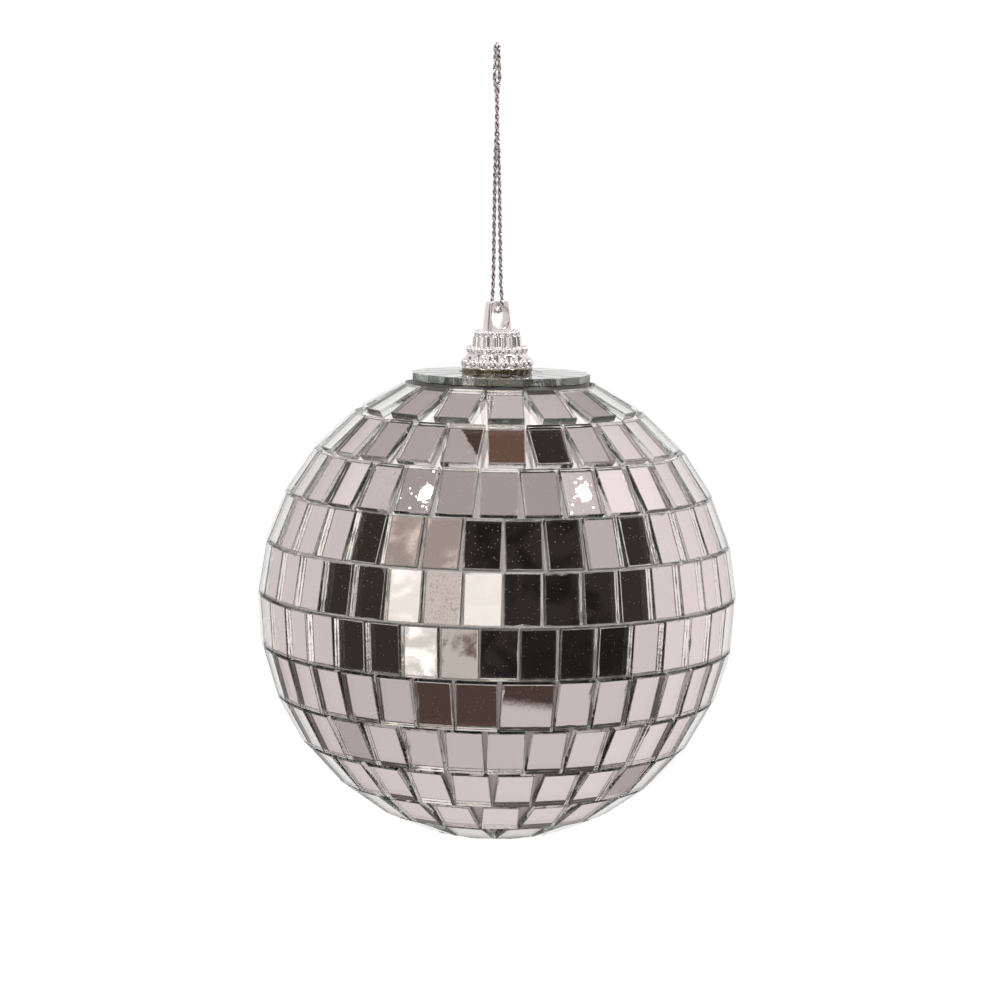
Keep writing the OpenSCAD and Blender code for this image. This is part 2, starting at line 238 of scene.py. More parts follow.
def sphere(centres, radius, rings=10, sides=16):
    """Spheres: points at radius r in every direction, each pole a ring of one point.

    x = r sin(v) cos(u), y = r sin(v) sin(u), z = r cos(v), for u round and v down.
    """
    v = np.linspace(0, np.pi, rings + 1)[1:-1, None]
    u = np.linspace(0, 2 * np.pi, sides, endpoint=False)[None, :]
    ball = np.stack([np.sin(v) * np.cos(u), np.sin(v) * np.sin(u), np.cos(v) + 0 * u], axis=-1).reshape(-1, 3)
    ball = np.concatenate([ball, [[0, 0, 1], [0, 0, -1]]]) * radius
    quads = grid_faces(rings - 1, sides)[:, ::-1].tolist()
    n = (rings - 1) * sides
    k = np.arange(sides)
    caps = np.stack([np.full(sides, n), k, (k + 1) % sides], axis=-1).tolist()
    low = n - sides
    caps += np.stack([np.full(sides, n + 1), low + (k + 1) % sides, low + k], axis=-1).tolist()
    faces = quads + caps
    count = len(ball)
    points = (np.asarray(centres)[:, None, :] + ball[None, :, :]).reshape(-1, 3)
    every = [[i + j * count for i in f] for j in range(len(centres)) for f in faces]
    return points, every


# ---------------------------------------------------------------- materials


def glass_face(s, name, scuffs):
    """Clear float glass, 1.5 mm, drawn and fire-polished: sharp and nearly colourless, or
    scuffed in a few tiles, which breaks up what it mirrors."""
    made, tree, out = material(name)
    place = add(tree, "ShaderNodeTexCoord")
    # scuffs of about 0.5 mm
    rub = add(tree, "ShaderNodeTexNoise", Vector=place.outputs["Object"], Scale=1 / (0.5 * MM), Detail=4.0,
              Roughness=0.7)
    bump = add(tree, "ShaderNodeBump", Height=rub.outputs[0], Strength=1.0, Distance=scuffs * MM)
    shader = add(tree, "ShaderNodeBsdfPrincipled", Base_Color=linear(s.glass), Roughness=0.0, IOR=1.52,
                 Transmission_Weight=1.0, Normal=bump.outputs[0])
    tree.links.new(shader.outputs[0], out.inputs["Surface"])
    return made


def glass_edge(s, name, ripple_size, strength, roughness, clear):
    """Scored and snapped glass edge: mostly clear, so that the silver shows again in it
    as dark and bright lines, with a faint bloom, and ripples and chips that glint."""
    made, tree, out = material(name)
    place = add(tree, "ShaderNodeTexCoord")
    ripple = add(tree, "ShaderNodeTexNoise", Vector=place.outputs["Object"], Scale=1 / (ripple_size * MM),
                 Detail=2.0, Roughness=0.6)
    bump = add(tree, "ShaderNodeBump", Height=ripple.outputs[0], Strength=strength, Distance=0.12 * MM)
    shader = add(tree, "ShaderNodeBsdfPrincipled", Base_Color=linear(s.edge), Roughness=roughness, IOR=1.52,
                 Transmission_Weight=clear, Normal=bump.outputs[0])
    tree.links.new(shader.outputs[0], out.inputs["Surface"])
    return made


def silvering(s, name, crazing):
    """Chemically silvered back of the glass: a bright metal film, with grit pressed into
    it that turns matt, and flakes that tilt by the given crazing where it has lifted."""
    made, tree, out = material(name)
    place = add(tree, "ShaderNodeTexCoord")
    # grit of about 0.1 mm in cells of 0.55 mm
    cell = add(tree, "ShaderNodeTexVoronoi", {"feature": "F1"}, Vector=place.outputs["Object"],
               Scale=1 / (0.55 * MM))
    speck = add(tree, "ShaderNodeMapRange", {"interpolation_type": "SMOOTHSTEP"}, Value=cell.outputs["Distance"],
                From_Min=0.04, From_Max=0.15, To_Min=0.8, To_Max=0.0)
    parts = add(tree, "ShaderNodeSeparateColor", Color=cell.outputs["Color"])
    held = add(tree, "ShaderNodeMath", {"operation": "LESS_THAN"}, i0=parts.outputs[0], i1=s.grit)
    grit = add(tree, "ShaderNodeMath", {"operation": "MULTIPLY"}, i0=speck.outputs[0], i1=held.outputs[0])
    # flakes of 0.3 mm, most of them nearly flat and a few tilted more
    flake = add(tree, "ShaderNodeTexVoronoi", {"feature": "F1"}, Vector=place.outputs["Object"],
                Scale=1 / (0.3 * MM))
    tilt = add(tree, "ShaderNodeVectorMath", {"operation": "SUBTRACT"}, i0=flake.outputs["Color"],
               i1=(0.5, 0.5, 0.5))
    cube = add(tree, "ShaderNodeVectorMath", {"operation": "MULTIPLY"}, i0=tilt.outputs[0], i1=tilt.outputs[0])
    cube = add(tree, "ShaderNodeVectorMath", {"operation": "MULTIPLY"}, i0=cube.outputs[0], i1=tilt.outputs[0])
    flat = add(tree, "ShaderNodeNewGeometry")
    tilted = add(tree, "ShaderNodeVectorMath", {"operation": "MULTIPLY_ADD"}, i0=cube.outputs[0], i1=(crazing,) * 3,
                 i2=flat.outputs["Normal"])
    tilted = add(tree, "ShaderNodeVectorMath", {"operation": "NORMALIZE"}, i0=tilted.outputs[0])
    shader = add(tree, "ShaderNodeBsdfPrincipled", Base_Color=linear(s.silver), Metallic=1.0,
                 Roughness=grit.outputs[0], Normal=tilted.outputs[0])
    tree.links.new(shader.outputs[0], out.inputs["Surface"])
    return made


def plating(name, colour):
    """Vacuum-plated polystyrene: a bright, faintly satin metal film under a clear lacquer
    that lightens its dark reflections."""
    made, tree, out = material(name)
    place = add(tree, "ShaderNodeTexCoord")
    # mould texture of about 0.4 mm
    grain = add(tree, "ShaderNodeTexNoise", Vector=place.outputs["Object"], Scale=1 / (0.4 * MM), Detail=2.0)
    bump = add(tree, "ShaderNodeBump", Height=grain.outputs[0], Strength=0.15, Distance=0.05 * MM)
    shader = add(tree, "ShaderNodeBsdfPrincipled", Base_Color=linear(colour), Metallic=0.8, Roughness=0.17,
                 Normal=bump.outputs[0])
    tree.links.new(shader.outputs[0], out.inputs["Surface"])
    return made


def foil(s):
    """Metallised polyester foil wound round each ply: the foil's bright colour, with
    painted shade, a dark grey, in bands for the grooves between."""
    made, tree, out = material("metallised_foil_with_painted_shade")
    place = add(tree, "ShaderNodeUVMap", {"uv_map": "along"})
    # foil bands 0.3 mm wide, wound steeply round each ply
    band = add(tree, "ShaderNodeTexWave", {"wave_type": "BANDS", "bands_direction": "DIAGONAL"},
               Vector=place.outputs[0], Scale=0.55, Distortion=1.5, Detail=1.0, Detail_Scale=2.0)
    # painted shade: the ramp gives each band a dark part, in the groove colour, beside the bright foil
    tone = add(tree, "ShaderNodeValToRGB", Fac=band.outputs[1],
               stops=((0.1, linear(s.groove_shade)), (0.45, linear(s.foil))))
    bump = add(tree, "ShaderNodeBump", Height=band.outputs[1], Strength=0.6, Distance=0.06 * MM)
    shader = add(tree, "ShaderNodeBsdfPrincipled", Base_Color=tone.outputs[0], Metallic=0.9, Roughness=0.2,
                 Normal=bump.outputs[0])
    tree.links.new(shader.outputs[0], out.inputs["Surface"])
    return made


def backing():
    """White net-backed adhesive paper under the tile strips: matt, with a soft dimple,
    and painted shade, a dark grey-green, on it under the collar."""
    made, tree, out = material("adhesive_paper_and_painted_shade")
    place = add(tree, "ShaderNodeTexCoord")
    # paper mottle of about 1.5 mm
    mottle = add(tree, "ShaderNodeTexNoise", Vector=place.outputs["Object"], Scale=1 / (1.5 * MM), Detail=3.0)
    tone = add(tree, "ShaderNodeValToRGB", Fac=mottle.outputs[0],
               stops=((0.3, linear("#F1EBE9")), (0.7, linear("#FAF6F5"))))
    spot = add(tree, "ShaderNodeSeparateXYZ", Vector=place.outputs["Object"])
    collar = (SEAT_Z - 2.4) * MM                        # the upper edge of the second row
    # painted shade: above the second row's upper edge the paper turns dark grey-green, for the shade under the
    # collar
    high = add(tree, "ShaderNodeMapRange", {"interpolation_type": "SMOOTHSTEP"}, Value=spot.outputs[2],
               From_Min=collar - 0.5 * MM, From_Max=collar + 0.5 * MM)
    tone = add(tree, "ShaderNodeMix", {"data_type": "RGBA"}, i0=high.outputs[0], i6=tone.outputs[0],
               i7=linear("#3E403C"))
    bump = add(tree, "ShaderNodeBump", Height=mottle.outputs[0], Strength=0.3, Distance=0.1 * MM)
    shader = add(tree, "ShaderNodeBsdfPrincipled", Base_Color=tone.outputs[2], Roughness=0.45,
                 Normal=bump.outputs[0])
    tree.links.new(shader.outputs[0], out.inputs["Surface"])
    return made


def foam():
    """Expanded polystyrene foam: white beads of about 3 mm pressed together."""
    made, tree, out = material("expanded_polystyrene")
    place = add(tree, "ShaderNodeTexCoord")
    beads = add(tree, "ShaderNodeTexVoronoi", {"feature": "F1"}, Vector=place.outputs["Object"],
                Scale=1 / (3.0 * MM))
    tone = add(tree, "ShaderNodeValToRGB", Fac=beads.outputs["Distance"],
               stops=((0.0, linear("#F4F3F0")), (0.8, linear("#DEDDD9"))))
    bump = add(tree, "ShaderNodeBump", {"invert": True}, Height=beads.outputs["Distance"], Strength=0.5,
               Distance=0.3 * MM)
    shader = add(tree, "ShaderNodeBsdfPrincipled", Base_Color=tone.outputs[0], Roughness=0.7,
                 Normal=bump.outputs[0])
    tree.links.new(shader.outputs[0], out.inputs["Surface"])
    return made


def glue():
    """Dried hot-melt glue: cloudy and slightly yellow."""
    made, tree, out = material("hot_melt_glue")
    place = add(tree, "ShaderNodeTexCoord")
    cloud = add(tree, "ShaderNodeTexNoise", Vector=place.outputs["Object"], Scale=1 / (2.0 * MM), Detail=2.0)
    tone = add(tree, "ShaderNodeValToRGB", Fac=cloud.outputs[0],
               stops=((0.3, linear("#E3DAC0")), (0.7, linear("#F0EAD8"))))
    shader = add(tree, "ShaderNodeBsdfPrincipled", Base_Color=tone.outputs[0], Roughness=0.35)
    tree.links.new(shader.outputs[0], out.inputs["Surface"])
    return made


# ---------------------------------------------------------------- cord

DROP = 52.9                                        # from the hang point to the web over the eye
# The loop's two strands from the top down, as in the part: height in a loop that drops
# 53.5 mm, half of the distance between them, and the direction of the first from the axis,
# in degrees from +X.
STRAND = np.array([
    [-0.1, 0.52, 126], [-2, 0.5, 132], [-4, 0.5, 144], [-5.5, 0.5, 158], [-7, 0.5, 166],
    [-8.5, 0.5, 118], [-10, 0.5, 98], [-12.5, 0.5, 92], [-15, 0.5, 87], [-17.5, 0.5, 78],
    [-20, 0.5, 62], [-22.5, 0.5, 48], [-25, 0.5, 40], [-27.5, 0.5, 28], [-30, 0.52, 18],
    [-33, 0.54, 5], [-36, 0.6, -8], [-39, 0.66, -18], [-42, 0.74, -26], [-45, 0.85, -33],
    [-48, 1.02, -40], [-50.5, 1.28, -47], [-53.5, 1.7, -52]]) * [DROP / 53.5, 1, 1]


def bend(row, down, angles):
    """Half a turn of a bight: a half circle of the strands' half distance, at their
    direction, below the strand point or over it."""
    z, half, turn = row
    a, t = np.radians(angles), np.radians(turn)
    r = half * np.cos(a) * down
    return np.stack([r * np.cos(t), r * np.sin(t), z - down * half * np.sin(a), np.full(len(a), turn)], axis=-1)


def cord_route():
    """Once round the loop from the middle of the lower bight: up the first strand, over
    the top and down the second, as rows of x, y, z and the direction in degrees."""
    t = np.radians(STRAND[:, 2])
    first = np.stack([STRAND[:, 1] * np.cos(t), STRAND[:, 1] * np.sin(t), STRAND[:, 0], STRAND[:, 2]], axis=-1)
    second = first * [-1, -1, 1, 1]
    steps = np.arange(1, 8) * 22.5
    low, high = bend(STRAND[-1], 1, steps), bend(STRAND[0], -1, steps)
    return np.concatenate([low[3::-1], first[::-1], high[::-1], second, low[:2:-1]])


def smooth_path(points, spacing):
    """Catmull-Rom line through closed points: on each stretch, position is the usual
    cubic blend of four neighbours; it is then cut to equal steps of about spacing."""
    p0, p1, p2, p3 = (np.roll(points, k, axis=0)[:, None, :] for k in (1, 0, -1, -2))
    f = np.linspace(0, 1, 24, endpoint=False)[None, :, None]
    line = 0.5 * (2 * p1 + (p2 - p0) * f + (2 * p0 - 5 * p1 + 4 * p2 - p3) * f ** 2
                  + (3 * p1 - p0 - 3 * p2 + p3) * f ** 3)
    line = line.reshape(-1, points.shape[1])
    closed = np.concatenate([line, line[:1]])
    run = np.concatenate([[0], np.cumsum(np.linalg.norm(np.diff(closed[:, :3], axis=0), axis=1))])
    count = int(round(run[-1] / spacing))
    s = np.linspace(0, run[-1], count, endpoint=False)
    return np.stack([np.interp(s, run, closed[:, k]) for k in range(points.shape[1])], axis=-1), s, run[-1]


def cord_surface(s):
    """Two-ply cord: a closed tube along the route whose radius is R (1 - g sin^2(a - w)),
    for the angle a round it, groove g and lay angle w that grows along it."""
    route = cord_route()
    line, run, length = smooth_path(route[:-1], 0.16)
    centre = line[:, :3]
    tangent = np.roll(centre, -1, axis=0) - np.roll(centre, 1, axis=0)
    tangent /= np.linalg.norm(tangent, axis=1)[:, None]
    t = np.radians(line[:, 3])
    side = np.stack([-np.sin(t), np.cos(t), 0 * t], axis=-1)
    u = side - tangent * np.sum(side * tangent, axis=1)[:, None]
    u /= np.linalg.norm(u, axis=1)[:, None]
    v = np.cross(tangent, u)
    turns = round(length / s.lay * 2) / 2               # the plies meet again where the loop closes
    wind = 2 * np.pi * turns * run / length
    a = np.linspace(0, 2 * np.pi, 20, endpoint=False)
    radius = s.diameter / 2 * (1 - s.groove * np.sin(a[None, :] - wind[:, None]) ** 2)
    points = centre[:, None, :] + radius[..., None] * (np.cos(a)[None, :, None] * u[:, None, :]
                                                     + np.sin(a)[None, :, None] * v[:, None, :])
    faces = grid_faces(len(centre), len(a), close_rows=True)
    along = np.stack(np.broadcast_arrays(a[None, :] / (2 * np.pi) * 2.8, run[:, None]), axis=-1).reshape(-1, 2)
    return points.reshape(-1, 3), faces, along, centre, length


class MB_OT_cord(bpy.types.Operator):
    """Build the two-ply cord that loops through the eye"""
    bl_idname = "mirror_ball.cord"
    bl_label = "Cord Loop"

    def execute(self, context):
        s = context.scene.mb_cord
        points, faces, along, centre, length = cord_surface(s)
        obj = piece("cord_loop", points, faces, [foil(s)])
        uv = obj.data.uv_layers.new(name="along")
        index = np.empty(len(obj.data.loops), dtype=np.int32)
        obj.data.loops.foreach_get("vertex_index", index)
        uv.data.foreach_set("uv", along[index].ravel())
        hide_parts("loop_top", "loop_strands", "loop_bight")
        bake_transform(obj)
        return {"FINISHED"}


# ---------------------------------------------------------------- tiles


def solids(name):
    """Each solid of a CAD node, as its distinct corner points in millimetres."""
    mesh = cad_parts[name].data
    co = np.empty(len(mesh.vertices) * 3)
    mesh.vertices.foreach_get("co", co)
    tri = np.empty(len(mesh.loops), dtype=np.int64)
    mesh.loops.foreach_get("vertex_index", tri)
    spots, index = np.unique(np.round(co.reshape(-1, 3) / MM, 3), axis=0, return_inverse=True)
    tri = index.ravel()[tri].reshape(-1, 3)
    label = np.arange(len(spots))
    while True:                                          # the lowest label spreads over each solid
        low = label.copy()
        np.minimum.at(low, tri.ravel(), np.repeat(label[tri].min(axis=1), 3))
        if np.array_equal(low, label):
            break
        label = low
    return [spots[label == k] for k in np.unique(label)]


TALLER = 0.12          # how far each pane runs past its CAD height at either end, in mm
SNAP, BEVEL = 0.12, 0.07   # the least that its rim is cut back inwards and downwards, in mm


def tile_corners(name):
    """Front and back corners of each tile of a row, both counted from the lower left,
    with the face's outward normal."""
    block = np.array(solids(name))                       # tiles, 8 corners, xyz
    middle = block.mean(axis=1)
    radial = middle - [0, 0, BALL_Z]
    out = np.linalg.svd(block - middle[:, None])[2][:, 2]   # square to the pane: its thinnest way
    out *= np.sign(np.sum(out * radial, axis=1))[:, None]
    order = np.argsort(-np.einsum("kij,kj->ki", block - middle[:, None], out), axis=1)
    front = np.take_along_axis(block, order[:, :4, None], axis=1)
    back = np.take_along_axis(block, order[:, 4:, None], axis=1)
    east = np.cross([0, 0, 1], radial)
    east /= np.linalg.norm(east, axis=1)[:, None]
    up = np.cross(out, east)

    def sort(four):
        d = four - middle[:, None]
        turn = np.arctan2(np.einsum("kij,kj->ki", d, up), np.einsum("kij,kj->ki", d, east))
        return np.take_along_axis(four, np.argsort(turn, axis=1)[..., None], axis=1)

    front, back = sort(front), sort(back)
    for four in (front, back):                           # hand-cut panes run a little tall
        rise = four[:, [3, 2]] - four[:, [0, 1]]
        rise *= TALLER / np.linalg.norm(rise, axis=2)[..., None]
        four[:, [3, 2]] += rise
        four[:, [0, 1]] -= rise
    normal = np.cross(front[:, 1] - front[:, 0], front[:, 3] - front[:, 0])
    return front, back, normal / np.linalg.norm(normal, axis=1)[:, None]


def rim(corners, normal, inset, share):
    """Points round each pane: along each side at the given shares, moved inwards in the
    pane's plane by inset, square to the side and mitred at the corners."""
    after = np.roll(corners, -1, axis=1)
    side = after - corners
    side /= np.linalg.norm(side, axis=2)[..., None]
    inward = np.cross(normal[:, None, :], side)
    corner = inward + np.roll(inward, 1, axis=1)
    points = corners[:, :, None] + (after - corners)[:, :, None] * share[None, None, :, None]
    move = np.where(share[None, None, :, None] == 0, corner[:, :, None], inward[:, :, None])
    return (points + move * inset[..., None]).reshape(len(corners), -1, 3)


def tile_surface(front, back, normal, crazed, s, rng):
    """Glass block with a chipped face edge: rings round the back's silvering, the back's
    edge, the side and the face, each joined to the next."""
    n, share = len(front), np.array([0, 0.12, 0.3, 0.5, 0.7, 0.88])
    shape = (n, 4, len(share))
    wander = rng.random(shape) ** 3
    big = (rng.random(shape) > 0.975) * rng.random(shape)      # a few larger snaps
    chip = SNAP + s.chip * (0.25 * wander + 2.2 * big)
    bare = 0.02 + s.bare * (rng.random(shape) ** 2 + 1.5 * big)
    silver = rim(back, normal, bare, share)
    low = rim(back, normal, np.zeros(shape), share)
    drop = BEVEL + 0.5 * s.chip * (0.4 * wander + 2.5 * big)
    shoulder = rim(front, normal, np.zeros(shape), share) - normal[:, None] * drop.reshape(n, -1, 1)
    face = rim(front, normal, chip, share)
    rings = np.stack([silver, low, shoulder, face], axis=1)
    k = rings.shape[2]
    points = rings.reshape(-1, 3)
    start = np.arange(n) * 4 * k
    walls = (grid_faces(4, k)[None] + start[:, None, None]).reshape(-1, 4).tolist()
    wall_slots = np.tile(np.repeat([1, 1, 2], k), n)
    back_face = (np.arange(k)[::-1][None] + start[:, None]).tolist()
    front_face = (np.arange(k)[None] + start[:, None] + 3 * k).tolist()
    slots = np.concatenate([wall_slots, np.where(crazed > 0, 4, 3), np.where(crazed > 1, 5, 0)])
    return points, walls + back_face + front_face, slots


# Tiles that are not true: row, azimuth from -Y towards +X in degrees, and 1 where the
# silvering has crazed or 2 where the glass is scuffed as well.
CRAZED = (("tile_row_02", -19, 1), ("tile_row_02", 28, 2), ("tile_row_03", 64, 1), ("tile_row_04", -101, 1),
          ("tile_row_04", -35, 2), ("tile_row_04", -23, 1), ("tile_row_04", 24, 1), ("tile_row_06", -14, 1),
          ("tile_row_08", 172, 1), ("tile_row_10", 137, 1))


class MB_OT_tiles(bpy.types.Operator):
    """Build the silvered glass tiles, row by row"""
    bl_idname = "mirror_ball.tiles"
    bl_label = "Glass Tiles"

    def execute(self, context):
        s = context.scene.mb_tiles
        slots = [glass_face(s, "float_glass", 0.0), glass_edge(s, "snapped_glass_edge", 0.6, 0.25, 0.01, 0.97),
                 glass_edge(s, "chipped_glass_rim", 0.25, 1.0, 0.08, 0.87),
                 silvering(s, "silver_film", 0.002), silvering(s, "crazed_silver_film", 0.15),
                 glass_face(s, "scuffed_glass", 0.01)]
        for number, name in enumerate(TILE_ROWS):
            rng = np.random.default_rng(s.seed + number)
            front, back, normal = tile_corners(name)
            turn = np.degrees(np.arctan2(front.mean(axis=1)[:, 0], -front.mean(axis=1)[:, 1]))
            crazed = np.zeros(len(front), dtype=int)
            for row, azimuth, kind in CRAZED:
                if row == name:
                    crazed[np.argmin(np.abs(turn - azimuth))] = kind
            points, faces, kinds = tile_surface(front, back, normal, crazed, s, rng)
            obj = piece(name.replace("tile_row", "glass_row"), points, faces, slots, kinds, smooth=False)
            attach(obj, "ball")
            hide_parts(name)
        corners = solids("pole_tile")[0]
        middle = corners.mean(axis=0)
        turn = np.arctan2(corners[:, 1] - middle[1], corners[:, 0] - middle[0])
        low = corners[:, 2] < middle[2]
        ring_low = corners[low][np.argsort(turn[low])]
        ring_high = corners[~low][np.argsort(turn[~low])]
        k = len(ring_low)
        inner = ring_low + (ring_low.mean(axis=0) - ring_low) * 0.03
        low_edge = ring_low + (ring_high - ring_low) * 0.06
        points = np.concatenate([inner, low_edge, ring_high])
        faces = grid_faces(3, k).tolist() + [list(range(k))[::-1], list(range(2 * k, 3 * k))]
        obj = piece("glass_pole", points, faces, slots, [1] * (2 * k) + [0, 3], smooth=False)
        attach(obj, "ball")
        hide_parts("pole_tile")
        return {"FINISHED"}


class MB_OT_core(bpy.types.Operator):
    """Finish the backing under the tiles, the foam core and the glue"""
    bl_idname = "mirror_ball.core"
    bl_label = "Core And Backing"

    def execute(self, context):
        for name, made in (("tile_bed", backing()), ("foam_core", foam()), ("peg_glue", glue())):
            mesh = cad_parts[name].data
            mesh.materials.clear()
            mesh.materials.append(made)
        return {"FINISHED"}


# ---------------------------------------------------------------- crown and eye


def revolve(profile, sides, radius_of=None):
    """A closed profile of (radius, height) turned round the vertical, with an optional
    change of radius for each profile point and angle."""
    a = np.linspace(0, 2 * np.pi, sides, endpoint=False)
    r, z = profile[:, 0][:, None] + 0 * a, profile[:, 1][:, None] + 0 * a
    if radius_of is not None:
        r = r + radius_of(z, a[None, :], r)
    return np.stack([r * np.cos(a), r * np.sin(a), z], axis=-1)


def rounded(points, radius, steps=3):
    """A closed polyline with each corner cut back by radius and rounded by a quadratic
    curve through it."""
    p = np.asarray(points, dtype=float)
    before, after = np.roll(p, 1, axis=0) - p, np.roll(p, -1, axis=0) - p
    lb, la = np.linalg.norm(before, axis=1), np.linalg.norm(after, axis=1)
    cut = np.minimum(radius, 0.45 * np.minimum(lb, la))[:, None]
    a, b = p + before / lb[:, None] * cut, p + after / la[:, None] * cut
    f = np.linspace(0, 1, steps + 1)[None, :, None]
    return ((1 - f) ** 2 * a[:, None] + 2 * f * (1 - f) * p[:, None] + f ** 2 * b[:, None]).reshape(-1, 2)


CROWN_PROFILE = [
    (5.6, 0), (6.9, 0), (7.3, 2.1), (7.45, 2.6), (7.4, 2.85), (6.75, 2.95), (6.5, 3.4), (6.45, 4.2), (6.35, 5.0),
    (6.2, 5.75), (5.75, 5.95), (5.65, 6.4), (4.95, 6.55), (4.75, 7.1), (4.7, 8.2), (4.6, 9.2), (4.45, 9.72),
    (4.2, 9.8), (1.66, 9.8), (1.66, 8.9), (3.8, 8.9), (3.8, 5.0), (5.6, 5.0)]


SKIRT_TOP = 2.9        # height of the skirt's upper edge over the seat
# Rings of pearls: radius of the ring, height over the seat, turn as a share of the way from
# one pearl to the next, and size of a pearl.
PEARL_RINGS = ((6.55, 3.78, 0, 2.1), (5.7, 6.5, 0.5, 1.7), (4.25, 9.95, 0.5, 1.3))


class MB_OT_crown(bpy.types.Operator):
    """Build the pearled crown cap"""
    bl_idname = "mirror_ball.crown"
    bl_label = "Crown Cap"

    def execute(self, context):
        s = context.scene.mb_crown
        skin = plating("vacuum_plated_polystyrene", s.plate)
        first = np.radians(s.turn)

        def ribs(z, a, r):
            """Ribs stand out by cos^2 of half the pearl count round, only on the outer
            walls of the two drums, fading at their ends."""
            wave = np.cos(s.pearls * (a - first) / 2) ** 2
            low = np.clip((z - 3.3) / 0.3, 0, 1) * np.clip((5.7 - z) / 0.3, 0, 1) * (r > 5.7)
            top = np.clip((z - 6.7) / 0.3, 0, 1) * np.clip((9.7 - z) / 0.3, 0, 1) * (r > 4.2) * (r < 5.2)
            return (0.42 * wave - 0.14) * low + (0.5 * wave - 0.1) * top

        shell = revolve(rounded(CROWN_PROFILE, 0.12), s.pearls * 12, ribs)
        points, faces = shell.reshape(-1, 3), grid_faces(shell.shape[0], shell.shape[1], close_rows=True)
        low = points[faces].max(axis=1)[:, 2] < SKIRT_TOP      # painted shade: the skirt's faces get a darker olive plating colour, for the dark that the skirt mirrors
        obj = piece("crown_shell", points + [0, 0, SEAT_Z], faces, [skin, plating("skirt_plating_painted_shade", s.skirt)], low)
        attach(obj, "ball")
        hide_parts("crown_cap")

        parts = []
        for ring_r, z, share, size in PEARL_RINGS:
            a = first + (np.arange(s.pearls) + share) * 2 * np.pi / s.pearls
            centres = np.stack([ring_r * np.cos(a), ring_r * np.sin(a), np.full(s.pearls, z + SEAT_Z)], axis=-1)
            parts.append(sphere(centres, size / 2))
        points = np.concatenate([p for p, f in parts])
        shift = np.cumsum([0] + [len(p) for p, f in parts]).tolist()
        faces = [[i + k for i in face] for (p, f), k in zip(parts, shift) for face in f]
        obj = piece("crown_pearls", points, faces, [skin])
        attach(obj, "ball")
        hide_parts("crown_cap")
        return {"FINISHED"}


POST_FOOT = 9.8        # height of the post's foot over the seat
POST_H, POST_R, POST_T = 6.8, (3.2, 2.45), (1.3, 1.0)   # height, radius and half thickness at foot and top
EYE_R, EYE_H = 2.25, 3.35                               # the bore, and its height over the foot
SHANK = [(1.6, 9.7), (1.6, -6.2), (2.2, -6.2), (1.55, -8.4), (1.6, -9.8), (2.2, -9.8), (1.55, -12.0),
         (1.6, -13.0), (1.6, -14.0), (0.01, -14.0), (0.01, 9.7)]


def post_reach(angle, y):
    """Distance from the bore's centre to the post's outline, at an angle from the web
    axis and a depth y from its middle: the soft minimum of the distances to the tapered
    sides, the top and the foot."""
    foot, top = np.sqrt(POST_R[0] ** 2 - y ** 2), np.sqrt(POST_R[1] ** 2 - y ** 2)
    slope = (top - foot) / POST_H
    c, d = np.abs(np.cos(angle)), np.sin(angle)
    side = (foot + slope * EYE_H) / np.maximum(c - slope * d, 1e-6)
    cap = np.where(d > 0, (POST_H - EYE_H) / np.maximum(d, 1e-6), 1e6)
    base = np.where(d < 0, EYE_H / np.maximum(-d, 1e-6), 1e6)
    return (side ** -14 + cap ** -14 + base ** -14) ** (-1 / 14)


def post_surface():
    """Eye post as a ring round its bore: for each angle u round the bore, a closed curve
    runs out over one flat, over the rounded rim, back over the other flat and through
    the bore."""
    u = np.linspace(0, 2 * np.pi, 96, endpoint=False)[:, None]
    fillet, bore = 0.22, 0.25                          # radii of the outer rim and of the bore's edge
    a = np.linspace(0, np.pi / 2, 5)
    # each row: share of the way from bore to rim, and how far the fillet there moves it
    # out and down
    half = ([(0.0, bore * (1 - np.sin(f)), bore * (1 - np.cos(f))) for f in a[::-1]]
            + [(k, 0, 0) for k in (0.25, 0.5, 0.75)]
            + [(1.0, -fillet * (1 - np.sin(f)), fillet * (1 - np.cos(f))) for f in a])
    rows = [(k, ds, dy, 1) for k, ds, dy in half] + [(k, ds, dy, -1) for k, ds, dy in half[::-1]]
    k, ds, dy, side = (np.array(c)[None, :] for c in zip(*rows))
    ang = u + 0 * k
    reach = post_reach(ang, 0 * ang)
    z_rim = EYE_H + reach * np.sin(ang)
    t_rim = POST_T[0] + (POST_T[1] - POST_T[0]) * np.clip(z_rim / POST_H, 0, 1)
    reach = post_reach(ang, side * (t_rim - dy) * (k == 1)) * (k == 1) + post_reach(ang, t_rim) * (k < 1)
    inner, outer = EYE_R + bore, reach - fillet
    s = np.where(k == 0, EYE_R + ds, np.where(k == 1, reach + ds, inner + (outer - inner) * k))
    z = EYE_H + s * np.sin(ang)
    t = POST_T[0] + (POST_T[1] - POST_T[0]) * np.clip(z / POST_H, 0, 1)
    return np.stack([s * np.cos(ang), -side * (t - dy), z + POST_FOOT], axis=-1)


class MB_OT_eye(bpy.types.Operator):
    """Build the eye post on its barbed shank"""
    bl_idname = "mirror_ball.eye"
    bl_label = "Eye Peg"

    def execute(self, context):
        skin = plating("vacuum_plated_peg", context.scene.mb_crown.plate)
        post = post_surface()
        turn = np.radians(38)
        spin = np.array([[np.cos(turn), np.sin(turn), 0], [-np.sin(turn), np.cos(turn), 0], [0, 0, 1]])
        foot = revolve(rounded([(0.01, 9.8), (3.2, 9.8), (3.15, 10.3), (0.01, 10.3)], 0.12), 64)
        shank = revolve(np.array(SHANK)[::-1], 32)
        parts = [(post, grid_faces(post.shape[0], post.shape[1], close_rows=True)),
                 (foot, grid_faces(foot.shape[0], foot.shape[1], close_rows=True)),
                 (shank, grid_faces(shank.shape[0], shank.shape[1], close_rows=True))]
        points, faces = merge(parts)
        obj = piece("eye_post", points @ spin + [0, 0, SEAT_Z], faces, [skin])
        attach(obj, "ball")
        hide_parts("eye_peg")
        return {"FINISHED"}


# ---------------------------------------------------------------- camera and studio


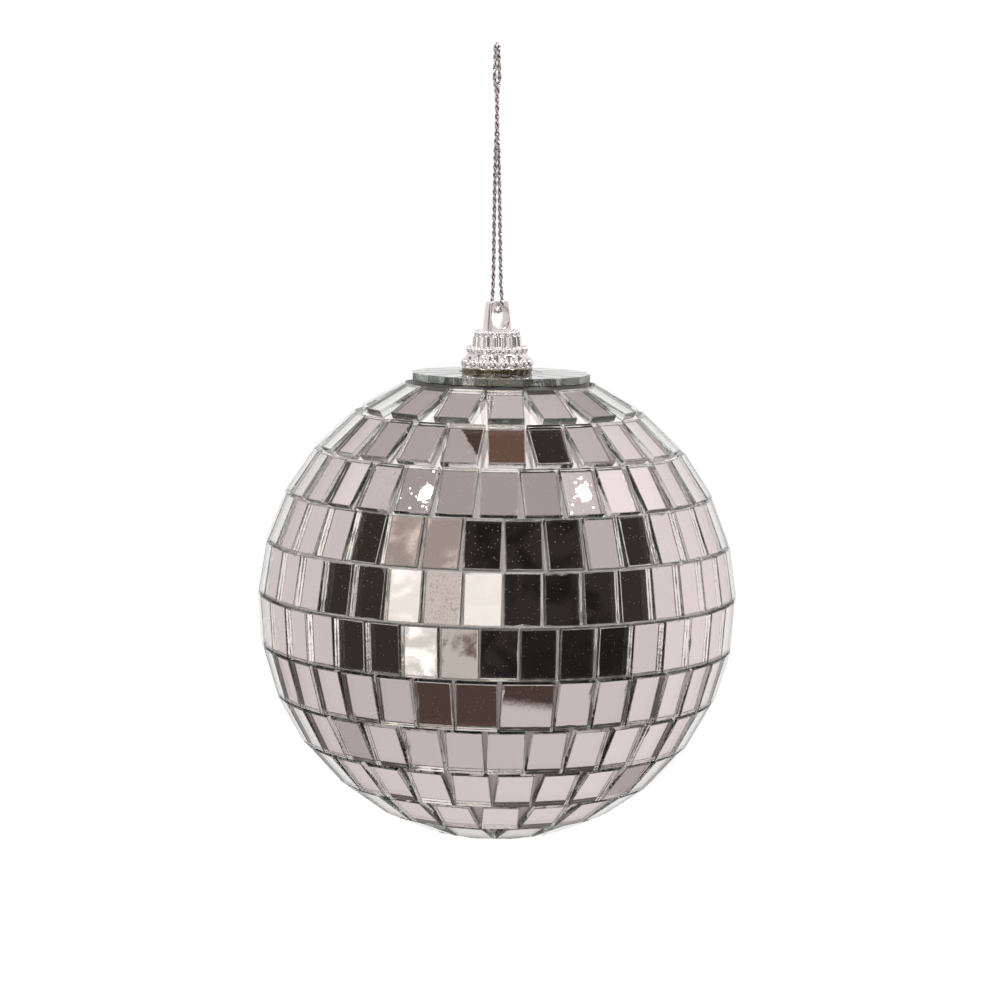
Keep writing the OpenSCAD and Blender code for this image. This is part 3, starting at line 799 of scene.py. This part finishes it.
class MB_OT_camera(bpy.types.Operator):
    """Place the camera"""
    bl_idname = "mirror_ball.camera"
    bl_label = "Camera"

    def execute(self, context):
        s = context.scene.mb_studio
        tilt = np.radians(s.elevation)
        data = bpy.data.cameras.new("camera")
        data.sensor_width, data.lens, data.clip_start = 36.0, s.lens, 0.01
        obj = bpy.data.objects.new("camera", data)
        context.scene.collection.objects.link(obj)
        place = Vector((s.aside, -s.distance * np.cos(tilt), BALL_Z + s.distance * np.sin(tilt))) * MM
        aim = Vector((s.aside, 0, BALL_Z + s.aim)) * MM
        obj.location = place
        obj.rotation_euler = (aim - place).to_track_quat("-Z", "Y").to_euler()
        context.scene.camera = obj
        return {"FINISHED"}


# Cards, openings and walls of the light tent, each laid over the ones before it: azimuth
# from -Y towards +X and height, both low and high in degrees, how soft its rim is in
# degrees, its colour, its strength and how cloudy it is.
TENT = (
    ((-86, 54), (40, 74), 3, "roof", 1, 0),
    ((-180, -122), (38, 76), 4, "roof", 1.18, 0),
    ((-125, -84), (55, 90), 4, "roof", 1.15, 0),
    ((106, 180), (44, 76), 5, "wall", 1, 0),
    ((-130, -104), (-52, -36), 4, "roof", 1.15, 0),
    ((138, 152), (-48, -36), 3, "roof", 1.15, 0),
    ((80, 118), (27, 48), 4, "back", 1.3, 0),
    ((-120, -104), (28, 40), 4, "back", 1.1, 0),
    ((-86, 73), (-30, 43), 2, "room", 1, 0),
    ((-50, 64), (-38, -26), 2, "room", 1, 0),
    ((72, 89), (12, 32), 2, "room", 1, 0),
    ((-90, -84), (-8, 13), 1, "room", 1, 0),
    ((-47, 3), (-46, -37), 1, "shade", 1, 0),
    ((3, 32), (-44.14, -36), 0.12, "shade", 0.95, 0),
    ((-30, 62), (-34, 40), 6, "gloom", 1, 0.8),
    ((12, 64), (-24, -8), 4, "gloom", 1, 0.25),
    ((48, 69), (22, 37), 2, "wall", 0.93, 0),
    ((150, 165), (30, 42), 3, "wall", 0.8, 0),
    ((-8, 4), (-16.8, 33), 0.8, "cream", 1.8, 0.3),
    ((3, 11.5), (14, 33), 0.8, "cream", 1.7, 0.3),
    ((3, 11.5), (-16, 2.5), 0.8, "cream", 1.7, 0.3),
    ((-60, -19), (21, 42), 1.5, "warm", 1.6, 0.55),
    ((-52, -16), (-5, 21), 1.5, "cream", 1.5, 0.35),
    ((-16, 3), (-5, 21), 1.5, "cream", 1.0, 0.2),
    ((-35, -16), (-5, 21), 1.5, "warm", 0.9, 0.4),
    ((-45, -8), (-29, -5), 1.5, "cream", 1.5, 0.5),
    ((-26, -8), (-29, -5), 1.5, "shade", 1.6, 0.7),
)
# Bands of the boom overhead: from and to, as x / z + 0.42 y / z of the way there, and colour.
BOOM = ((-0.202, -0.12, "shade"), (-0.12, 0.17, "boom"), (0.17, 0.43, "room"))
LAMPS = ((-282, -164, 430), (302, -168, 414))                # from the ball's centre, in mm


class MB_OT_stage(bpy.types.Operator):
    """Build the white backdrop, the lamps and the light tent that the tiles mirror"""
    bl_idname = "mirror_ball.stage"
    bl_label = "Stage"

    def execute(self, context):
        s = context.scene.mb_studio
        world = bpy.data.worlds.new("light_tent")
        context.scene.world = world
        world.use_nodes = True
        tree = world.node_tree
        tree.nodes.clear()
        way = add(tree, "ShaderNodeTexCoord").outputs["Generated"]
        axis = add(tree, "ShaderNodeSeparateXYZ", Vector=way)
        front = add(tree, "ShaderNodeMath", {"operation": "MULTIPLY"}, i0=axis.outputs[1], i1=-1.0)
        turn = add(tree, "ShaderNodeMath", {"operation": "ARCTAN2"}, i0=axis.outputs[0], i1=front.outputs[0])
        azimuth = add(tree, "ShaderNodeMath", {"operation": "DEGREES"}, i0=turn.outputs[0]).outputs[0]
        rise = add(tree, "ShaderNodeMath", {"operation": "ARCSINE"}, i0=axis.outputs[2])
        height = add(tree, "ShaderNodeMath", {"operation": "DEGREES"}, i0=rise.outputs[0]).outputs[0]
        # creases and clouds of about half a degree, the width of what one tile mirrors
        cloud = add(tree, "ShaderNodeTexNoise", Vector=way, Scale=70.0, Detail=3.0, Roughness=0.55, Distortion=1.2)
        cloud = add(tree, "ShaderNodeMapRange", {"interpolation_type": "SMOOTHSTEP"}, Value=cloud.outputs[0],
                    From_Min=0.42, From_Max=0.68).outputs[0]

        # the tent's walls, paler behind and to the right
        behind = add(tree, "ShaderNodeMapRange", {"interpolation_type": "SMOOTHSTEP"}, Value=axis.outputs[1],
                     From_Min=-0.45, From_Max=0.35)
        tent = add(tree, "ShaderNodeMix", {"data_type": "RGBA"}, i0=behind.outputs[0], i6=linear(s.wall),
                   i7=linear(s.back))
        right = add(tree, "ShaderNodeMapRange", {"interpolation_type": "SMOOTHSTEP"}, Value=axis.outputs[0],
                    From_Min=-0.9, From_Max=0.9, To_Min=0.94, To_Max=1.12)
        colour = add(tree, "ShaderNodeVectorMath", {"operation": "SCALE"}, i0=tent.outputs[2],
                     Scale=right.outputs[0]).outputs[0]

        for turns, heights, soft, kind, strength, cloudy in TENT:
            share = add(tree, "ShaderNodeMapRange", Value=cloud, To_Min=1.0 - cloudy).outputs[0]
            for value, (low, high) in ((azimuth, turns), (height, heights)):
                for edge, ends in ((low, (0.0, 1.0)), (high, (1.0, 0.0))):
                    rim = add(tree, "ShaderNodeMapRange", {"interpolation_type": "SMOOTHSTEP"}, Value=value,
                              From_Min=edge - soft, From_Max=edge + soft, To_Min=ends[0], To_Max=ends[1])
                    share = add(tree, "ShaderNodeMath", {"operation": "MULTIPLY"}, i0=share,
                                i1=rim.outputs[0]).outputs[0]
            lit = np.array(linear(getattr(s, kind))) * strength
            colour = add(tree, "ShaderNodeMix", {"data_type": "RGBA"}, i0=share, i6=colour,
                         i7=lit.tolist()).outputs[2]
        across = add(tree, "ShaderNodeMath", {"operation": "DIVIDE"}, i0=axis.outputs[0], i1=axis.outputs[2])
        along = add(tree, "ShaderNodeMath", {"operation": "DIVIDE"}, i0=axis.outputs[1],
                    i1=axis.outputs[2]).outputs[0]
        across = add(tree, "ShaderNodeMath", {"operation": "MULTIPLY_ADD"}, i0=along, i1=0.42,
                     i2=across.outputs[0]).outputs[0]
        overhead = add(tree, "ShaderNodeMath", {"operation": "GREATER_THAN"}, i0=axis.outputs[2], i1=0.0).outputs[0]
        for low, high, kind in BOOM:
            share = overhead
            for value, middle, half in ((across, (low + high) / 2, (high - low) / 2), (along, -0.04, 0.17)):
                near = add(tree, "ShaderNodeMath", {"operation": "COMPARE"}, i0=value, i1=middle, i2=half)
                share = add(tree, "ShaderNodeMath", {"operation": "MULTIPLY"}, i0=share,
                            i1=near.outputs[0]).outputs[0]
            colour = add(tree, "ShaderNodeMix", {"data_type": "RGBA"}, i0=share, i6=colour,
                         i7=linear(getattr(s, kind))).outputs[2]
        # the white backdrop behind the ball, which metal and glass show too
        beyond = add(tree, "ShaderNodeMath", {"operation": "ABSOLUTE"}, i0=azimuth)
        beyond = add(tree, "ShaderNodeMapRange", {"interpolation_type": "SMOOTHSTEP"}, Value=beyond.outputs[0],
                     From_Min=142.0, From_Max=156.0)
        upright = add(tree, "ShaderNodeMath", {"operation": "ABSOLUTE"}, i0=height)
        upright = add(tree, "ShaderNodeMapRange", {"interpolation_type": "SMOOTHSTEP"}, Value=upright.outputs[0],
                      From_Min=24.0, From_Max=36.0, To_Min=1.0, To_Max=0.0)
        share = add(tree, "ShaderNodeMath", {"operation": "MULTIPLY"}, i0=beyond.outputs[0], i1=upright.outputs[0])
        colour = add(tree, "ShaderNodeMix", {"data_type": "RGBA"}, i0=share.outputs[0], i6=colour,
                     i7=(1, 1, 1, 1)).outputs[2]
        path = add(tree, "ShaderNodeLightPath")
        colour = add(tree, "ShaderNodeMix", {"data_type": "RGBA"}, i0=path.outputs["Is Camera Ray"], i6=colour,
                     i7=(1, 1, 1, 1)).outputs[2]
        light = add(tree, "ShaderNodeBackground", Color=colour, Strength=1.0)
        add(tree, "ShaderNodeOutputWorld", Surface=light.outputs[0])

        for number, place in enumerate(LAMPS):
            data = bpy.data.lights.new(f"lamp_{number + 1}", "AREA")
            data.shape, data.size, data.size_y = "ELLIPSE", s.lamp_size * MM, s.lamp_tall * MM
            data.energy = s.lamp_power
            lamp = bpy.data.objects.new(f"lamp_{number + 1}", data)
            context.scene.collection.objects.link(lamp)
            lamp.location = (Vector(place) + Vector((0, 0, BALL_Z))) * MM
            lamp.rotation_euler = (-Vector(place)).to_track_quat("-Z", "Y").to_euler()
        context.scene.view_settings.view_transform = "Standard"
        return {"FINISHED"}


# ---------------------------------------------------------------- panel and main


class MB_PT_panel(bpy.types.Panel):
    """Lists the pieces of the mirror ball"""
    bl_idname = "MB_PT_panel"
    bl_label = "Mirror Ball"
    bl_space_type = "VIEW_3D"
    bl_region_type = "UI"
    bl_category = "Mirror Ball"

    def draw(self, context):
        for name in SETTINGS:
            box = self.layout.box()
            settings = getattr(context.scene, name)
            for key in settings.bl_rna.properties.keys():
                if key not in ("rna_type", "name"):
                    box.prop(settings, key)
        for kind in OPERATORS:
            self.layout.operator(kind.bl_idname)


OPERATORS = (MB_OT_camera, MB_OT_cord, MB_OT_tiles, MB_OT_core, MB_OT_crown, MB_OT_eye, MB_OT_stage)


def register():
    for kind in (*SETTINGS.values(), *OPERATORS, MB_PT_panel):
        bpy.utils.register_class(kind)
    for name, kind in SETTINGS.items():
        setattr(bpy.types.Scene, name, PointerProperty(type=kind))


def unregister():
    for name in SETTINGS:
        delattr(bpy.types.Scene, name)
    for kind in (MB_PT_panel, *reversed(OPERATORS), *reversed(list(SETTINGS.values()))):
        bpy.utils.unregister_class(kind)


def main():
    """Register the add-on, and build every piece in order."""
    register()
    for kind in OPERATORS:
        group, name = kind.bl_idname.split(".")
        getattr(getattr(bpy.ops, group), name)()


if __name__ == "__main__":
    main()
